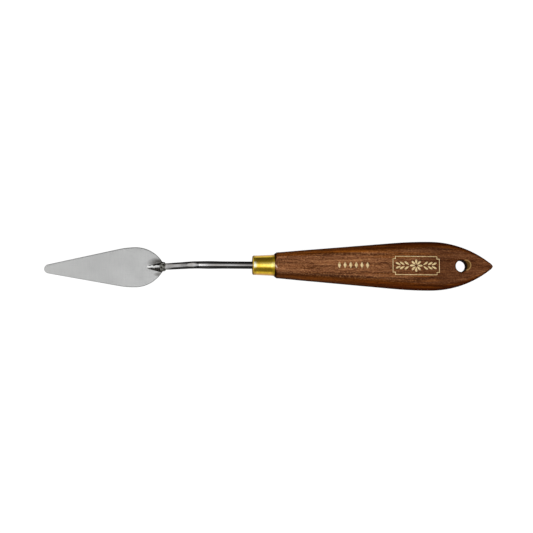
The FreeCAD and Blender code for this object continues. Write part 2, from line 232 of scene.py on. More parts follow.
class Maker(Nodes):
    """Builds one material. Places and distances are millimetres."""

    def __init__(self, name):
        self.material = bpy.data.materials.new(name)
        self.material.use_nodes = True
        super().__init__(self.material.node_tree)
        self.shader = self.tree.nodes["Principled BSDF"]

    def shade(self, **sockets):
        for socket, value in sockets.items():
            self.put(self.shader.inputs[socket.replace("_", " ")], value)

    def place(self, tilt=0.0, stretch=(1, 1, 1), shift=(0, 0, 0)):
        """Position on the object, shifted, tilted about Y and scaled along each axis."""
        where = self.node("ShaderNodeTexCoord").outputs["Object"]
        turned = self.node("ShaderNodeMapping", Vector=where, Location=shift, Rotation=(0, tilt, 0),
                           Scale=(1 / MM, 1 / MM, 1 / MM))
        scaled = self.node("ShaderNodeVectorMath", {"operation": "MULTIPLY"})
        self.put(scaled.inputs[0], turned.outputs["Vector"])
        self.put(scaled.inputs[1], stretch)
        return scaled.outputs["Vector"]

    def noise(self, place, detail=2.0, roughness=0.5, distortion=0.0):
        made = self.node("ShaderNodeTexNoise", Vector=place, Scale=1.0, Detail=detail,
                         Roughness=roughness, Distortion=distortion)
        return made.outputs["Fac"]

    def squared_reach(self, x, y, centre, half_size=(1.0, 1.0)):
        """Squared distance of (x, y) from a centre, as a share of an oval's half size each way."""
        across = self.times(self.minus(x, centre[0]), 1 / half_size[0])
        beside = self.times(self.minus(y, centre[1]), 1 / half_size[1])
        return self.add(self.times(across, across), self.times(beside, beside))

    def reach(self, x, y, centre, half_size=(1.0, 1.0)):
        return self.calculate("POWER", self.squared_reach(x, y, centre, half_size), 0.5)

    def normal(self):
        return self.node("ShaderNodeTexCoord").outputs["Normal"]

    def bump(self, height, depth):
        made = self.node("ShaderNodeBump", Height=height, Distance=depth * MM, Strength=1.0)
        self.shade(Normal=made.outputs["Normal"])


# ---------------------------------------------------------------- materials

# Pairs are where a change starts and ends: along X, or in a surface direction or a noise value.

GROUND_STEEL = [(0.25, linear(178, 179, 179)), (0.75, linear(189, 189, 188))]
SCRATCH_GREY = linear(150, 150, 150)
TIP_SHEEN_GREY = linear(208, 208, 206)
TIP_SHEEN = (-80.0, -97.0)
# Painted shade on the blade on both sides of the weld, cast by the raised crank and weld.
NECK_SHADE_BROWN = linear(70, 67, 64)
NECK_SHADE_CENTRE = (-48.0, 1.8)
NECK_SHADE_HALF_SIZE = (6.6, 2.7)
LOWER_NECK_SHADE_BROWN = linear(96, 93, 90)
LOWER_NECK_SHADE_CENTRE = (-48.4, -3.5)
LOWER_NECK_SHADE_HALF_SIZE = (3.4, 1.2)
NECK_SHADE_FADE = (0.1, 1.0)


def make_blade_steel():
    """Satin spring steel: fine grinding lines across the blade, faint smudges, hairline scratches, a painted
    sheen that lightens the tip, and painted shade on both sides of the weld, cast by the raised crank and weld."""
    maker = Maker("blade_spring_steel")
    lines = maker.noise(maker.place(stretch=(7.0, 0.25, 1.0)), detail=3.0, roughness=0.6)
    smudge = maker.noise(maker.place(stretch=(0.12, 0.16, 0.1)), detail=3.0)
    scratch = maker.noise(maker.place(stretch=(0.18, 9.0, 1.0)), detail=1.0, distortion=0.3)
    hair = maker.range(scratch, 0.66, 0.76, 0.0, 0.45)
    scratched = maker.blend(maker.ramp(lines, GROUND_STEEL), SCRATCH_GREY, hair)

    x, y, _ = maker.split(maker.place())
    # Painted shade on the blade below the weld.
    lower_reach = maker.squared_reach(x, y, LOWER_NECK_SHADE_CENTRE, LOWER_NECK_SHADE_HALF_SIZE)
    lower_neck_shaded = maker.blend(scratched, LOWER_NECK_SHADE_BROWN, maker.range(lower_reach, *NECK_SHADE_FADE, 0.75, 0.0))
    # Painted sheen: the blade's colour lightens towards its tip.
    brighter = maker.blend(lower_neck_shaded, TIP_SHEEN_GREY, maker.range(x, *TIP_SHEEN, 0.0, 0.32))
    cloud = maker.noise(maker.place(stretch=(0.7, 0.7, 0.7)), detail=3.0)
    # Painted shade on the blade above the weld.
    upper_reach = maker.squared_reach(x, y, NECK_SHADE_CENTRE, NECK_SHADE_HALF_SIZE)
    neck_shade = maker.times(maker.range(upper_reach, *NECK_SHADE_FADE, 0.95, 0.0),
                       maker.range(cloud, 0.3, 0.55, 0.55, 1.0))
    maker.shade(Base_Color=maker.blend(brighter, NECK_SHADE_BROWN, neck_shade), Metallic=1.0,
                Roughness=maker.range(smudge, 0.3, 0.7, 0.30, 0.38))
    maker.bump(maker.minus(lines, hair), 0.004)
    return maker.material


ROD_STEEL = [(0.35, linear(198, 198, 199)), (0.65, linear(190, 186, 182))]
# Painted reflection of the brass on the rod near the ferrule.
BRASS_REFLECTION_BROWN = linear(86, 68, 58)
BRASS_REFLECTION_ALONG = (-16.5, -8.0)
# Painted reflections of the dark studio down the rod's flanks: dim, then nearly black, weaker at the very rim.
DIM_REFLECTION_GREY = linear(90, 88, 86)
DIM_REFLECTION_SIDES = (0.26, 0.50)
DARK_REFLECTION_GREY = linear(32, 31, 30)
DARK_REFLECTION_SIDES = (0.52, 0.75)
CLEAR_SIDES = (0.97, 0.90)
BANDS_BEGIN = (-45.2, -42.0)
SCALED_ROUGHNESS = (-41.5, -45.0)
# Dark oxide on the foot, deepened as a painted dark reflection on its flanks.
FOOT_OXIDE_AND_SHADE = [(0.35, linear(26, 25, 25)), (0.65, linear(84, 80, 74))]
# Painted highlight colour for the foot's crest.
CREST_HIGHLIGHT_GREY = linear(253, 253, 252)
CREST_HEIGHTS = (0.60, 1.93)


def make_rod_steel():
    """Polished rod with drawing lines along it, with painted dim and nearly black reflections down its
    flanks and a painted brown reflection of the brass near the ferrule. Its drawn-out foot has dark
    oxide and painted dark reflection on its flanks, and a painted highlight along its crest."""
    maker = Maker("rod_polished_steel")
    x, _, z = maker.split(maker.place())
    _, aside, facing = maker.split(maker.normal())
    lines = maker.noise(maker.place(stretch=(0.12, 5.0, 5.0)), detail=3.0, roughness=0.6)
    cast = maker.noise(maker.place(stretch=(0.16, 0.5, 0.5)), detail=2.0)
    clean = maker.ramp(cast, ROD_STEEL)
    # Painted reflection of the brass: the rod turns browner towards the ferrule.
    shaded = maker.blend(clean, BRASS_REFLECTION_BROWN, maker.range(x, *BRASS_REFLECTION_ALONG, 0.0, 0.45))

    # Painted dark reflections down the flanks, from where the bands begin.
    sideways = maker.absolute(aside)
    band = maker.times(maker.range(sideways, *CLEAR_SIDES, 0.25, 1.0), maker.range(x, *BANDS_BEGIN))
    dim_reflection = maker.times(maker.range(sideways, *DIM_REFLECTION_SIDES, 0.0, 0.85), band)
    dark_reflection = maker.times(maker.range(sideways, *DARK_REFLECTION_SIDES, 0.0, 0.9), band)
    reflections_painted = maker.blend(maker.blend(shaded, DIM_REFLECTION_GREY, dim_reflection), DARK_REFLECTION_GREY, dark_reflection)

    # Painted highlight along the foot's crest, where it faces up.
    crest_height = maker.range(x, FOOT_TOE, NECK, *CREST_HEIGHTS)
    near_crest = maker.range(maker.minus(z, crest_height), -0.10, 0.0)
    crest = maker.times(near_crest, maker.range(facing, 0.5, 0.75))
    # The foot's flanks: dark oxide with painted dark reflection.
    foot_mottle = maker.noise(maker.place(stretch=(1.4, 2.0, 2.0)), detail=3.0)
    foot_crest_highlighted = maker.blend(maker.ramp(foot_mottle, FOOT_OXIDE_AND_SHADE), CREST_HIGHLIGHT_GREY, crest)
    on_foot = maker.range(x, NECK + 1.6, NECK - 0.4)
    roughness = maker.add(maker.range(lines, 0.3, 0.7, 0.08, 0.14),
                          maker.range(x, *SCALED_ROUGHNESS, 0.0, 0.34))
    maker.shade(Base_Color=maker.blend(reflections_painted, foot_crest_highlighted, on_foot), Metallic=1.0, Roughness=roughness,
                Specular_Tint=(0.35, 0.35, 0.36, 1.0))
    maker.bump(lines, 0.006)
    return maker.material


WELD_OXIDE = [(0.40, linear(20, 20, 19)), (0.50, linear(84, 83, 78)), (0.62, linear(204, 203, 196))]
WELD_STRAW = linear(104, 100, 82)


def make_weld_metal():
    """Burnt weld metal: dark oxide with straw tints over a pitted surface."""
    maker = Maker("burnt_weld_metal")
    pits = maker.noise(maker.place(stretch=(1.25, 1.25, 1.25)), detail=4.0, roughness=0.65)
    tint = maker.noise(maker.place(stretch=(1.1, 1.1, 1.1)), detail=2.0)
    straw = maker.blend(maker.ramp(pits, WELD_OXIDE), WELD_STRAW, maker.range(tint, 0.5, 0.7, 0.0, 0.4))
    maker.shade(Base_Color=straw, Metallic=0.85, Roughness=maker.range(pits, 0.3, 0.7, 0.55, 0.25),
                Specular_Tint=(0.4, 0.4, 0.4, 1.0))
    maker.bump(pits, 0.08)
    return maker.material


BRASS = [(0.35, linear(238, 201, 40)), (0.7, linear(216, 171, 26))]
# Painted shade down the ferrule's sides.
SIDE_SHADE_BRASS = linear(178, 122, 34)
SIDE_SHADE_FACING = (0.66, 0.42)
# Painted highlight along the ferrule's top, stronger at the front and the rear.
TOP_HIGHLIGHT_BRASS = linear(255, 248, 165)
TOP_HIGHLIGHT_FACING = (0.955, 0.99)
TOP_HIGHLIGHT_LENGTH = (-7.0, 3.0)
TOP_HIGHLIGHT_ALONG = [(0.0, grey(1.0)), (0.14, grey(0.9)), (0.30, grey(0.10)),
              (0.45, grey(0.30)), (0.80, grey(0.45)), (0.95, grey(1.0))]
# Painted highlight at the ferrule's front edge.
FRONT_HIGHLIGHT = linear(255, 252, 226)
FRONT_HIGHLIGHT_ALONG = (-4.7, -5.7)
FRONT_HIGHLIGHT_FACING = (0.93, 0.965)
FRONT_HAZE = (-4.6, -6.4)
REAR_HAZE = (1.4, 2.4)


def make_brass():
    """Lacquered brass with fine turning lines round the ferrule, tarnished in patches, with painted
    shade down its sides and painted highlights along the top and at its front edge."""
    maker = Maker("ferrule_turned_brass")
    x, _, _ = maker.split(maker.place())
    _, _, facing = maker.split(maker.normal())
    lines = maker.noise(maker.place(tilt=-PITCH, stretch=(9.0, 0.1, 0.1)), detail=2.0, roughness=0.6)
    tarnish = maker.noise(maker.place(stretch=(0.5, 0.5, 0.5)), detail=4.0, roughness=0.6)
    polished = maker.ramp(tarnish, BRASS)
    # Painted shade: the sides darken as they turn away from up.
    side_shaded = maker.blend(polished, SIDE_SHADE_BRASS, maker.range(facing, *SIDE_SHADE_FACING, 0.0, 0.8))
    # Painted highlight along the top, varied along the ferrule.
    top_highlight_along = maker.ramp(maker.range(x, *TOP_HIGHLIGHT_LENGTH), TOP_HIGHLIGHT_ALONG)
    top_highlight = maker.times(maker.range(facing, *TOP_HIGHLIGHT_FACING, 0.0, 0.70), top_highlight_along)
    pale = maker.blend(side_shaded, TOP_HIGHLIGHT_BRASS, top_highlight)
    # Painted highlight on the upper face near the front edge.
    front_highlight = maker.times(maker.range(x, *FRONT_HIGHLIGHT_ALONG, 0.0, 0.95), maker.range(facing, *FRONT_HIGHLIGHT_FACING))
    haze = maker.add(maker.range(x, *FRONT_HAZE, 0.0, 0.26), maker.range(x, *REAR_HAZE, 0.0, 0.16))
    maker.shade(Base_Color=maker.blend(pale, FRONT_HIGHLIGHT, front_highlight), Metallic=1.0,
                Coat_Weight=0.4, Coat_Roughness=0.08,
                Roughness=maker.add(maker.range(tarnish, 0.3, 0.7, 0.13, 0.19), haze))
    maker.bump(lines, 0.004)
    return maker.material


MIDDLE_WOOD = [(0.38, linear(60, 30, 14)), (0.47, linear(104, 64, 39)),
               (0.54, linear(124, 79, 51)), (0.64, linear(158, 110, 72))]
# Redder side stain with painted shade: darker the further the surface turns from up.
SIDE_WOOD_AND_SHADE = [(0.0, linear(106, 56, 13)), (0.25, linear(88, 38, 5)),
             (0.50, linear(60, 16, 1)), (0.75, linear(37, 5, 1))]
SIDE_GRAIN_BROWN = linear(52, 18, 2)
FRONT_SIDE_BROWN = linear(120, 66, 20)
FRONT_SIDE = (58.0, 18.0)
AMBER = linear(150, 84, 22)
UMBER = linear(46, 17, 3)
UMBER_SHIFT = (31.0, 17.0, 53.0)
STREAK_BROWN = linear(44, 19, 7)
STREAK_START = -4.1
STREAK_SLOPE = -0.05
STREAK_WANDER = 0.9
STREAK_WIDTH = (1.2, 0.4)
STREAK_END = (62.0, 34.0)
AGED_BROWN = linear(44, 14, 3)
AGEING_LENGTH = (0.0, 100.0)
AGEING_ALONG = [(0.10, grey(0.0)), (0.45, grey(0.11)), (0.78, grey(0.62)), (0.96, grey(0.40))]
FLECK_DARK = linear(44, 19, 8)
# Light flecks: partly speckle in the wood, partly painted glints.
FLECK_AND_GLINT_LIGHT = linear(176, 124, 80)
CALM_REAR = (52.0, 74.0)
PORE_BROWN = linear(36, 15, 5)
# Nearly black end grain with painted shade on the front shoulder.
END_GRAIN_AND_SHADE_BROWN = linear(20, 8, 4)
END_GRAIN_AND_SHADE_ALONG = (12.0, 8.0)
END_GRAIN_AND_SHADE_FACING = (-0.12, -0.40)


def stained_and_shaded_wood(maker, x, y, grain, amber, umber, turned_away):
    """Greyish brown down the middle, redder stain on the rounded sides under painted shade that darkens
    them as they turn from up, and streaks between them.
    """
    # Painted shade: the sides' colour darkens towards nearly black as the surface turns away from up.
    side_grain = maker.blend(maker.ramp(turned_away, SIDE_WOOD_AND_SHADE), SIDE_GRAIN_BROWN,
                             maker.range(grain, 0.52, 0.40, 0.0, 0.7))
    front_share = maker.times(maker.range(x, *FRONT_SIDE, 0.0, 0.6), maker.range(turned_away, 0.97, 0.70))
    side = maker.blend(side_grain, FRONT_SIDE_BROWN, front_share)
    stain_and_side_shade = maker.blend(maker.ramp(grain, MIDDLE_WOOD), side, maker.range(turned_away, 0.0, 0.05))

    beside = maker.range(maker.absolute(y), 2.4, 5.2, 0.15, 1.0)
    amber_reach = maker.times(beside, maker.range(turned_away, 0.12, 0.45, 1.0, 0.15))
    amber_share = maker.times(maker.range(amber, 0.52, 0.66, 0.0, 0.7), amber_reach)
    umber_share = maker.times(maker.range(umber, 0.50, 0.64, 0.0, 0.75), beside)
    shaded = maker.blend(maker.blend(stain_and_side_shade, AMBER, amber_share), UMBER, umber_share)

    streak_y = maker.add(maker.times(x, STREAK_SLOPE), STREAK_START)
    wandering = maker.add(streak_y, maker.times(umber, STREAK_WANDER))
    off_streak = maker.absolute(maker.minus(y, wandering))
    streak = maker.times(maker.range(off_streak, *STREAK_WIDTH, 0.0, 0.8), maker.range(x, *STREAK_END))
    return maker.blend(shaded, STREAK_BROWN, streak)


# Painted highlight and shade round the rim of the hanging hole.
RIM_SHADE_BROWN = linear(74, 52, 18)
RIM_HIGHLIGHT_GOLD = linear(152, 120, 74)
RIM_LIGHT_CENTRE = (HOLE_CENTRE.x + 2.2, 0.45)
RIM_LIGHT_RADIUS = 2.6
RIM_LIGHT_RING = 0.75
RIM_LIGHT_SOFTNESS = 0.35
RIM_LIGHT_BEYOND = (HOLE_CENTRE.x + 1.2, HOLE_CENTRE.x + 2.2)
# Painted shade on the inner wall of the hanging hole.
HOLE_SHADE_BROWN = linear(22, 11, 4)
HOLE_SHADE_REACH = (4.2, 3.0)
# Painted glint on the handle's front shoulder.
FRONT_GLINT_COLOUR = linear(196, 178, 160)
FRONT_GLINT_CENTRE = (3.7, -0.7)
FRONT_GLINT_HEADING = math.radians(-61)
FRONT_GLINT_HALF_SIZE = (1.1, 0.28)


def lit_hole_rim(maker, x, y, colour):
    """Golden crescent on the butt side of the hanging hole, pale inside and darker at its edge: a painted
    highlight where the rim catches light, and painted shade of the inner wall.
    """
    from_rim_light = maker.reach(x, y, RIM_LIGHT_CENTRE)
    hollow = maker.range(from_rim_light, RIM_LIGHT_RADIUS - RIM_LIGHT_RING, RIM_LIGHT_RADIUS - RIM_LIGHT_RING / 2)
    lit_crescent = maker.blend(RIM_SHADE_BROWN, RIM_HIGHLIGHT_GOLD, hollow)
    rim_light = maker.range(from_rim_light, RIM_LIGHT_RADIUS, RIM_LIGHT_RADIUS - RIM_LIGHT_SOFTNESS, 0.0, 0.9)
    return maker.blend(colour, lit_crescent, maker.times(rim_light, maker.range(x, *RIM_LIGHT_BEYOND)))


def painted_front_glint(maker, x, y, normal_z, colour):
    """One short pale painted glint on the lacquer at the handle's front end."""
    cosine, sine = math.cos(FRONT_GLINT_HEADING), math.sin(FRONT_GLINT_HEADING)
    glint_x = maker.minus(x, FRONT_GLINT_CENTRE[0])
    glint_y = maker.minus(y, FRONT_GLINT_CENTRE[1])
    along = maker.add(maker.times(glint_x, cosine), maker.times(glint_y, sine))
    beside = maker.minus(maker.times(glint_y, cosine), maker.times(glint_x, sine))
    inside = maker.range(maker.reach(along, beside, (0.0, 0.0), FRONT_GLINT_HALF_SIZE), 1.0, 0.5, 0.0, 0.85)
    return maker.blend(colour, FRONT_GLINT_COLOUR, maker.times(inside, maker.range(normal_z, 0.2, 0.5)))


def make_wood():
    """Dark stained hardwood under thin satin lacquer, darker with age towards the butt and flecked
    towards the front, with painted glints among the light flecks, nearly black end grain with painted
    shade on the front shoulder, painted light and shade round the hanging hole and one painted glint."""
    maker = Maker("handle_lacquered_wood")
    x, y, _ = maker.split(maker.place())
    normal_x, _, normal_z = maker.split(maker.normal())
    figure = maker.noise(maker.place(-PITCH, (0.045, 0.75, 0.75)), detail=3.0, distortion=0.4)
    fibre = maker.noise(maker.place(-PITCH, (0.20, 2.2, 2.2)), detail=4.0, roughness=0.65)
    pores = maker.noise(maker.place(-PITCH, (0.30, 4.5, 4.5)), detail=1.0)
    amber = maker.noise(maker.place(-PITCH, (0.026, 0.9, 0.9)), detail=3.0, roughness=0.55, distortion=0.3)
    umber = maker.noise(maker.place(-PITCH, (0.03, 0.8, 0.8), UMBER_SHIFT), detail=3.0, roughness=0.55,
                        distortion=0.3)
    speckle = maker.noise(maker.place(-PITCH, (1.5, 2.6, 2.6)), detail=2.0, roughness=0.7)
    grain = maker.add(maker.times(figure, 0.5), maker.times(fibre, 0.5))
    turned_away = maker.range(maker.absolute(normal_z), 1.0, 0.15)

    stain_and_side_shade = stained_and_shaded_wood(maker, x, y, grain, amber, umber, turned_away)
    ageing = maker.ramp(maker.range(x, *AGEING_LENGTH), AGEING_ALONG)
    aged = maker.blend(stain_and_side_shade, AGED_BROWN, ageing)
    calmer = maker.range(x, *CALM_REAR, 1.0, 0.42)
    dark_flecks = maker.times(maker.range(speckle, 0.49, 0.33, 0.0, 0.75), calmer)
    mottled = maker.blend(aged, FLECK_DARK, dark_flecks)
    # Light flecks on the upper face only: partly speckle in the wood, partly painted glints.
    on_face = maker.range(turned_away, 0.1, 0.0, 0.1, 1.0)
    light_flecks_and_glints = maker.times(maker.range(speckle, 0.52, 0.68, 0.0, 0.55), on_face)
    glinting = maker.blend(mottled, FLECK_AND_GLINT_LIGHT, maker.times(light_flecks_and_glints, calmer))
    open_pores = maker.range(pores, 0.60, 0.70, 0.0, 0.6)
    pored = maker.blend(glinting, PORE_BROWN, open_pores)
    # Nearly black end grain with painted shade on the front shoulder, where it faces forwards.
    end_grain_and_shade = maker.times(maker.range(normal_x, *END_GRAIN_AND_SHADE_FACING),
                            maker.range(x, *END_GRAIN_AND_SHADE_ALONG, 0.0, 0.92))
    fronted = maker.blend(pored, END_GRAIN_AND_SHADE_BROWN, end_grain_and_shade)

    # Painted highlight and shade at the hanging hole's rim.
    golden = lit_hole_rim(maker, x, y, fronted)
    # Painted glint at the handle's front end.
    front_glinted = painted_front_glint(maker, x, y, normal_z, golden)
    # Painted shade on the steep inner wall of the hanging hole.
    from_hole = maker.reach(x, y, (HOLE_CENTRE.x, 0.0))
    hole_shade = maker.times(maker.range(maker.absolute(normal_z), 0.97, 0.60),
                          maker.range(from_hole, *HOLE_SHADE_REACH, 0.0, 0.92))
    maker.shade(Base_Color=maker.blend(front_glinted, HOLE_SHADE_BROWN, hole_shade),
                Roughness=maker.range(fibre, 0.3, 0.7, 0.36, 0.48),
                Coat_Weight=0.03, Coat_Roughness=0.2, Specular_IOR_Level=0.0)
    maker.bump(maker.minus(fibre, open_pores), 0.012)
    return maker.material


FOIL_GOLD = [(0.34, linear(150, 116, 66)), (0.46, linear(214, 188, 136)), (0.7, linear(236, 214, 168))]


def make_foil():
    """Hot-pressed gold foil, slightly rubbed so that it isn't even."""
    maker = Maker("pressed_gold_foil")
    rub = maker.noise(maker.place(-PITCH, (0.9, 3.5, 3.5)), detail=4.0, roughness=0.7)
    maker.shade(Base_Color=maker.ramp(rub, FOIL_GOLD), Metallic=0.35,
                Roughness=maker.range(rub, 0.3, 0.7, 0.55, 0.40))
    maker.bump(rub, 0.008)
    return maker.material


# ---------------------------------------------------------------- blade

BLADE_LENGTH = 53.6
BLADE_HALF_WIDTH = 9.05
BLADE_YAW = math.radians(1.1)
BLADE_TIP_THICKNESS = 0.36
BLADE_EDGE_ROUND = 0.5
TIP_RADIUS = 2.05
TIP_GRIND_START = 44.0
TIP_EDGE_ROUND = 0.8
SHOULDER_RADIUS = 39.5
HEEL_RADIUS = 14.3
WIDEST_FROM_NECK = 12.4
FOOT_LENGTH = 6.3
FOOT_HEEL_BACK = 0.8
FOOT_HEEL = NECK - FOOT_HEEL_BACK
FOOT_TOE = FOOT_HEEL - FOOT_LENGTH
BLADE_STATIONS = 96
BLADE_ACROSS = 56
TIP_STATIONS = 14
TIP_CENTRE = BLADE_LENGTH - TIP_RADIUS


def blade_flank():
    """Angle of the straight flank and the distances from the neck at which it starts and ends."""
    run = TIP_CENTRE - WIDEST_FROM_NECK
    rise = BLADE_HALF_WIDTH - SHOULDER_RADIUS
    angle = math.asin((SHOULDER_RADIUS - TIP_RADIUS) / math.hypot(run, rise)) + math.atan2(rise, run)
    start = WIDEST_FROM_NECK + SHOULDER_RADIUS * math.sin(angle)
    end = TIP_CENTRE + TIP_RADIUS * math.sin(angle)
    return angle, start, end


FLANK_ANGLE, FLANK_START, FLANK_END = blade_flank()


def blade_half_width(back):
    """Half width at a distance from the neck."""
    if back <= WIDEST_FROM_NECK:
        return BLADE_HALF_WIDTH - HEEL_RADIUS + math.sqrt(HEEL_RADIUS ** 2 - (WIDEST_FROM_NECK - back) ** 2)
    if back <= FLANK_START:
        along = back - WIDEST_FROM_NECK
        return BLADE_HALF_WIDTH - SHOULDER_RADIUS + math.sqrt(SHOULDER_RADIUS ** 2 - along ** 2)
    if back <= FLANK_END:
        start_half = BLADE_HALF_WIDTH - SHOULDER_RADIUS * (1 - math.cos(FLANK_ANGLE))
        return start_half - (back - FLANK_START) * math.tan(FLANK_ANGLE)
    return math.sqrt(max(0.0, TIP_RADIUS ** 2 - (back - TIP_CENTRE) ** 2))


def depth_in_blade(back, y):
    """Distance in from the blade's outline."""
    if back > TIP_CENTRE:
        return TIP_RADIUS - math.hypot(back - TIP_CENTRE, y)
    lean = math.cos(FLANK_ANGLE)
    if back < WIDEST_FROM_NECK:
        lean = math.sqrt(HEEL_RADIUS ** 2 - (WIDEST_FROM_NECK - back) ** 2) / HEEL_RADIUS
    return (blade_half_width(back) - abs(y)) * lean


def blade_ring(back):
    """Closed section of the blade: over the top from one edge to the other, and back underneath.
    The blade is welded on slightly askew, so each section is swung about the neck."""
    half = blade_half_width(back)
    thickness = mix(BLADE_THICKNESS, BLADE_TIP_THICKNESS, back / BLADE_LENGTH)
    to_tip = clamp((back - TIP_GRIND_START) / (TIP_CENTRE - TIP_GRIND_START))
    edge_round = mix(BLADE_EDGE_ROUND, TIP_EDGE_ROUND, to_tip)
    swing = Matrix.Rotation(BLADE_YAW, 3, "Z")
    neck = Vector((NECK, 0, 0))
    upper, lower = [], []
    for angle in spaced(-HALF_TURN / 2, HALF_TURN / 2, BLADE_ACROSS):
        y = half * math.sin(angle)
        inward = clamp(depth_in_blade(back, y) / edge_round)
        swell = thickness / 2 * math.sqrt(1 - (1 - inward) ** 2)
        upper.append(neck + swing @ Vector((-back, y, thickness / 2 + swell)))
        lower.append(neck + swing @ Vector((-back, y, thickness / 2 - swell)))
    return upper + lower[-2:0:-1]


def make_blade(material):
    """One leaf lofted through sections from the neck to the rounded tip, in place of the CAD blade."""
    tip_start = math.asin((FLANK_END - TIP_CENTRE) / TIP_RADIUS)
    tip_angles = spaced(tip_start, HALF_TURN / 2, TIP_STATIONS)[1:]
    stations = spaced(0, FLANK_END, BLADE_STATIONS)
    stations += [TIP_CENTRE + TIP_RADIUS * math.sin(angle) for angle in tip_angles]
    blade = loft("blade_leaf", [blade_ring(back) for back in stations], material)
    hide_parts("blade")
    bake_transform(blade)


# ---------------------------------------------------------------- shank

AROUND = 64
FOOT_TOE_HALF_WIDTH = 0.42
FOOT_HEEL_HALF_WIDTH = 2.15
FOOT_TOE_HEIGHT = 0.24
FOOT_HEEL_HEIGHT = 1.75
FOOT_SWAY = 0.19
FOOT_SWAY_LENGTH = 2.2
FOOT_CREST_HALF_WIDTH = 0.38
FOOT_LEAN = 0.2
FOOT_TOE_FLANK = 0.95
FOOT_HEEL_FLANK = 2.95
FOOT_STATIONS = 70
FOOT_SINK = 0.06
FOOT_WIDENING = 1.15
FOOT_RISING = 0.8
FOOT_SPREADING = 0.9
FOOT_RIPPLE = 0.08
FOOT_RIPPLE_RATE = 7.0
FOOT_BLUNT_SHARE = 0.06
CREST_MOST_OF_WIDTH = 0.8
CREST_CROWN = 0.05
FLANK_HOLLOW = 1.7
FLANK_CROWDING = 0.6
TABLE_GAP = 0.03
CRANK_START_HEIGHT = 1.55
CRANK_LOWER_CORNER = -45.3
CRANK_UPPER_CORNER = -32.5
CRANK_LOWER_BEND = 5.0
CRANK_UPPER_BEND = 7.0
CRANK_SPACING = 0.3
BEND_STEPS = 20
STRAIGHT_STEPS = 60
FOOT_MERGE_END = NECK + 0.9
TANG_END = 40.6
SHANK_RADII = [(-48.0, 1.42), (-45.5, 1.47), (-43.5, 1.50), (-39.0, 1.52), (-36.0, 1.57), (-32.0, 1.62),
               (-25.5, 1.72), (-19.0, 1.63)]
FLAT_HEIGHTS = [(-47.0, 0.95), (-43.0, 0.90), (-38.0, 0.92), (-33.0, 1.02)]


def shank_path():
    """Points and directions along the shank's centreline: level neck, crank, and straight rod."""
    corners = [Vector((FOOT_HEEL, 0, CRANK_START_HEIGHT)),
               Vector((CRANK_LOWER_CORNER, 0, CRANK_START_HEIGHT)),
               Vector((CRANK_UPPER_CORNER, 0, axis_height(CRANK_UPPER_CORNER))),
               Vector((TANG_END, 0, axis_height(TANG_END)))]
    path = []
    position = corners[0]
    for corner, after, radius in zip(corners[1:], corners[2:], (CRANK_LOWER_BEND, CRANK_UPPER_BEND)):
        inward = (corner - position).normalized()
        outward = (after - corner).normalized()
        turn = inward.angle(outward)
        setback = radius * math.tan(turn / 2)
        arc_start = corner - inward * setback
        steps = max(1, round((arc_start - position).length / CRANK_SPACING))
        path += [(position.lerp(arc_start, step / steps), inward) for step in range(steps)]
        bisector = (outward - inward).normalized()
        centre = corner + bisector * (radius / math.cos(turn / 2))
        arm = arc_start - centre
        sense = 1 if inward.cross(outward).y > 0 else -1
        for angle in spaced(0, turn, BEND_STEPS)[:-1]:
            swing = Matrix.Rotation(sense * angle, 3, "Y")
            path.append((centre + swing @ arm, swing @ inward))
        position = corner + outward * setback
    end = corners[-1]
    direction = (end - position).normalized()
    path += [(position.lerp(end, share), direction) for share in spaced(0, 1, STRAIGHT_STEPS)]
    return path


def rod_ring(centre, direction):
    """Round section across the path, with the pressed flat on top of the crank."""
    upward = Vector((-direction.z, 0, direction.x))
    radius = through(SHANK_RADII, centre.x)
    flat = through(FLAT_HEIGHTS, centre.x) * radius
    ring = []
    for step in range(AROUND):
        angle = 2 * HALF_TURN * step / AROUND
        height = min(radius * math.cos(angle), flat)
        place = centre + Vector((0, radius * math.sin(angle), 0)) + upward * height
        place.z = max(place.z, TABLE_GAP)
        ring.append(place)
    return ring


def rise_share(y, crest, half):
    """1 on the crest, falling to 0 at the foot's edge."""
    return 1 - clamp((abs(y) - crest) / (half - crest))


def foot_ring(x):
    """Flat-bottomed ridge that widens from the toe: a narrow swaying crest above hollow flanks, of
    which the one on the -Y side spreads further."""
    share = clamp((x - FOOT_TOE) / FOOT_LENGTH)
    bottom = BLADE_THICKNESS - FOOT_SINK
    half = mix(FOOT_TOE_HALF_WIDTH, FOOT_HEEL_HALF_WIDTH, share ** FOOT_WIDENING)
    height = mix(FOOT_TOE_HEIGHT, FOOT_HEEL_HEIGHT, share ** FOOT_RISING)
    height *= 1 + FOOT_RIPPLE * math.sin(FOOT_RIPPLE_RATE * x)
    sway = FOOT_SWAY * math.sin(2 * HALF_TURN * x / FOOT_SWAY_LENGTH) * math.sin(HALF_TURN * share) ** 0.5
    crest = min(FOOT_CREST_HALF_WIDTH, CREST_MOST_OF_WIDTH * half)
    blunt = min(1.0, (share / FOOT_BLUNT_SHARE) ** 0.5)
    flank = mix(FOOT_TOE_FLANK, FOOT_HEEL_FLANK, share ** FOOT_SPREADING) * blunt
    flank = max(flank, half)
    ring = []
    for step in range(AROUND):
        angle = 2 * HALF_TURN * step / AROUND
        reach = half if math.sin(angle) > 0 else flank
        if math.cos(angle) <= 0:
            ring.append(Vector((x, reach * math.sin(angle), bottom)))
            continue
        y = reach * math.sin(angle) * abs(math.sin(angle)) ** FLANK_CROWDING
        up = rise_share(y, crest, reach)
        crown = CREST_CROWN * min(1.0, abs(y) / crest) ** 2 * up
        rise = up ** FLANK_HOLLOW - crown
        lean = FOOT_LEAN * share * up
        ring.append(Vector((x, y + sway * rise + lean, bottom + height * max(rise, 0.0))))
    return ring


